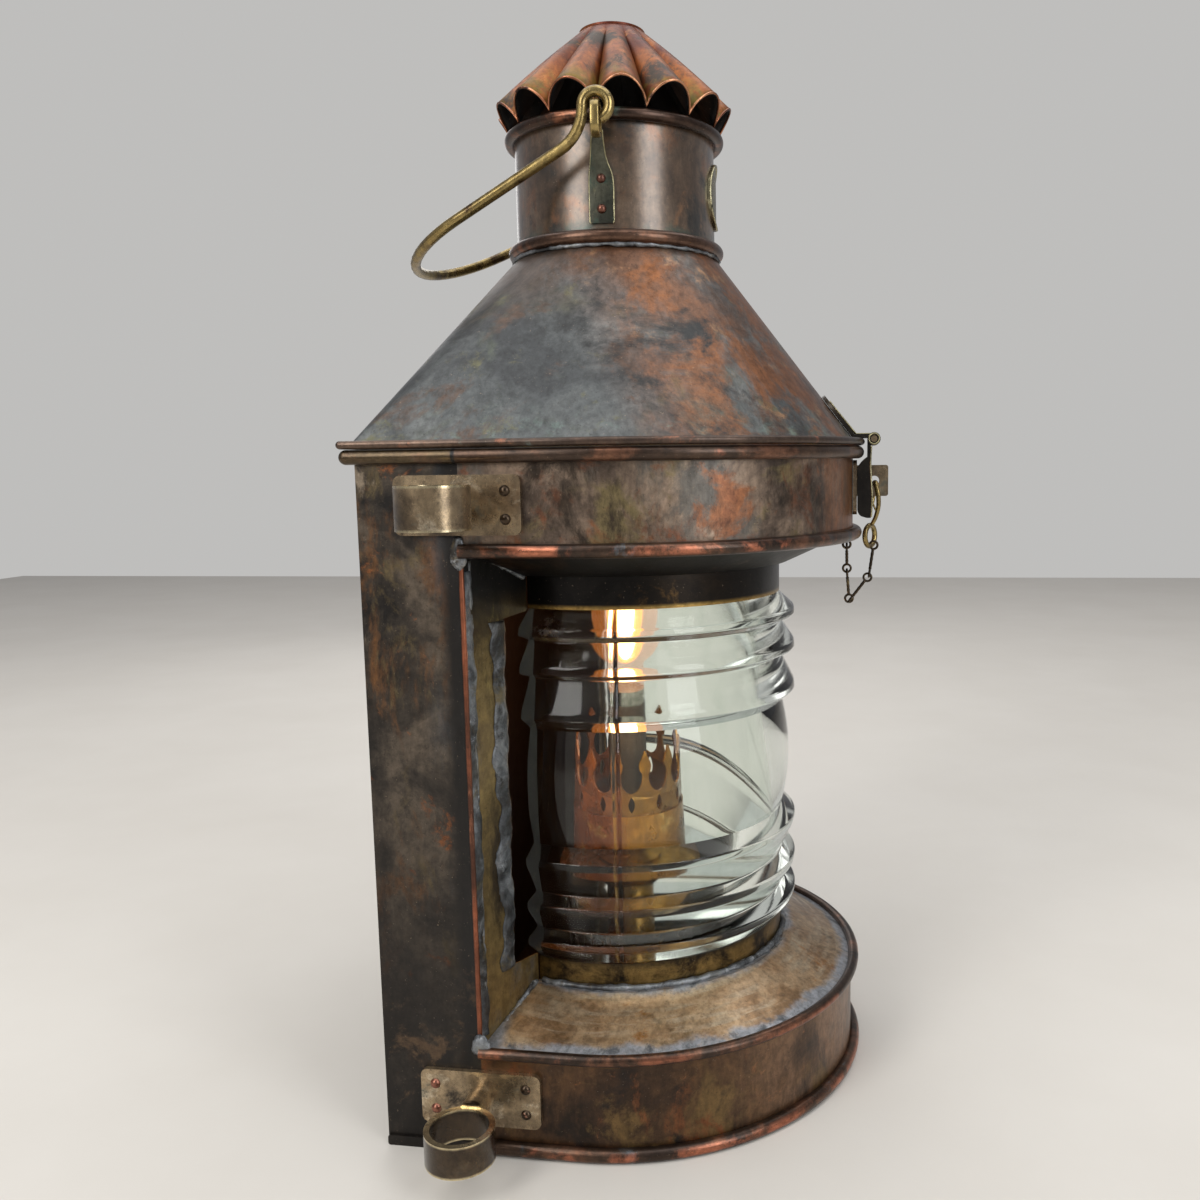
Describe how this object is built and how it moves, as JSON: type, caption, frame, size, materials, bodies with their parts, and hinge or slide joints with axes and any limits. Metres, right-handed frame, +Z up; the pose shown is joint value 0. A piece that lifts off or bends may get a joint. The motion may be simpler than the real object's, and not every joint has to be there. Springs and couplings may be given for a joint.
{
  "type": "masthead lantern",
  "caption": "D-shaped copper and brass ship's masthead lantern with a wide ringed glass lens, a hinged hood with a fluted cap, a carrying bail and side socket brackets.",
  "frame": {"origin": "lens axis on the plane that the base stands on", "axes": "+X out through the front of the lens, +Y to the lantern's left, +Z up along the lens axis"},
  "size_m": [0.3033, 0.41, 0.6556],
  "materials": {
    "case_copper": "aged copper sheet, brown and olive patina",
    "bead_copper": "aged copper, worn bright on the edges",
    "ledge_bronze": "olive-gold aged bronze",
    "lens_glass": "clear, faintly green",
    "bulb_glass": "frosted, lit",
    "fitting_brass": "aged khaki brass",
    "ear_metal": "dark green-grey patina",
    "rivet_copper": "worn copper",
    "chain_metal": "aged, dark",
    "roof_copper": "copper with blue-grey patina",
    "neck_copper": "dark brown satin",
    "cap_copper": "reddish copper",
    "lamp_brass": "polished brass",
    "burner_copper": "polished copper",
    "lamp_holder": "matt dark",
    "bulb_cap": "plain metal"
  },
  "bodies": {
    "case": {"back_case": "case_copper", "upper_band": "case_copper", "base_drum": "case_copper", "base_plate": "case_copper", "lower_ledge": "ledge_bronze", "upper_ledge": "ledge_bronze", "seat_bead_front": "bead_copper", "seat_bead_left": "bead_copper", "seat_bead_right": "bead_copper", "band_bead": "bead_copper", "ledge_bead": "bead_copper", "base_bead": "bead_copper", "side_hems": "case_copper", "seat_rail_back": "case_copper", "lens": "lens_glass", "lens_collar_upper": "ledge_bronze", "lens_collar_lower": "ledge_bronze", "jamb_left": "ledge_bronze", "jamb_right": "ledge_bronze", "bracket_upper_left": "fitting_brass", "bracket_upper_right": "fitting_brass", "bracket_lower_left": "fitting_brass", "bracket_lower_right": "fitting_brass", "bracket_rivets": "rivet_copper", "hinge_leaf_case": "fitting_brass", "hinge_pin": "fitting_brass", "hasp_staple": "fitting_brass", "staple_hook": "fitting_brass", "safety_chain": "chain_metal", "chain_eye": "chain_metal", "oil_font": "lamp_brass", "burner_foot": "lamp_brass", "burner_cup": "burner_copper", "burner_gallery": "lamp_brass", "lamp_holder": "lamp_holder", "bulb_cap": "bulb_cap", "bulb_glass": "bulb_glass"},
    "lid": {"roof": "roof_copper", "eave_rim": "bead_copper", "neck": "neck_copper", "neck_bead": "bead_copper", "neck_rim": "bead_copper", "cap": "cap_copper", "cap_crown": "cap_copper", "vent_baffle": "neck_copper", "bail_ear_left": "ear_metal", "bail_ear_right": "ear_metal", "ear_rivets": "rivet_copper", "badge_plate": "fitting_brass", "hinge_leaf_lid": "fitting_brass", "hasp_roof_strap": "fitting_brass", "hasp_pin": "fitting_brass"},
    "hasp": {"hasp": "fitting_brass"},
    "bail": {"bail": "fitting_brass"}
  },
  "joints": [
    {"name": "lid_hinge", "type": "hinge", "parent": "case", "child": "lid", "pos_m": [-0.1252, 0, 0.3978], "axis": [0, -1, 0], "range_deg": [0, 100]},
    {"name": "hasp_hinge", "type": "hinge", "parent": "lid", "child": "hasp", "pos_m": [0.163, 0, 0.4024], "axis": [0, -1, 0], "range_deg": [0, 150]},
    {"name": "bail_hinge", "type": "hinge", "parent": "lid", "child": "bail", "pos_m": [0, 0, 0.5886], "axis": [-0.0872, 0.9962, 0], "range_deg": [0, 205]}
  ]
}
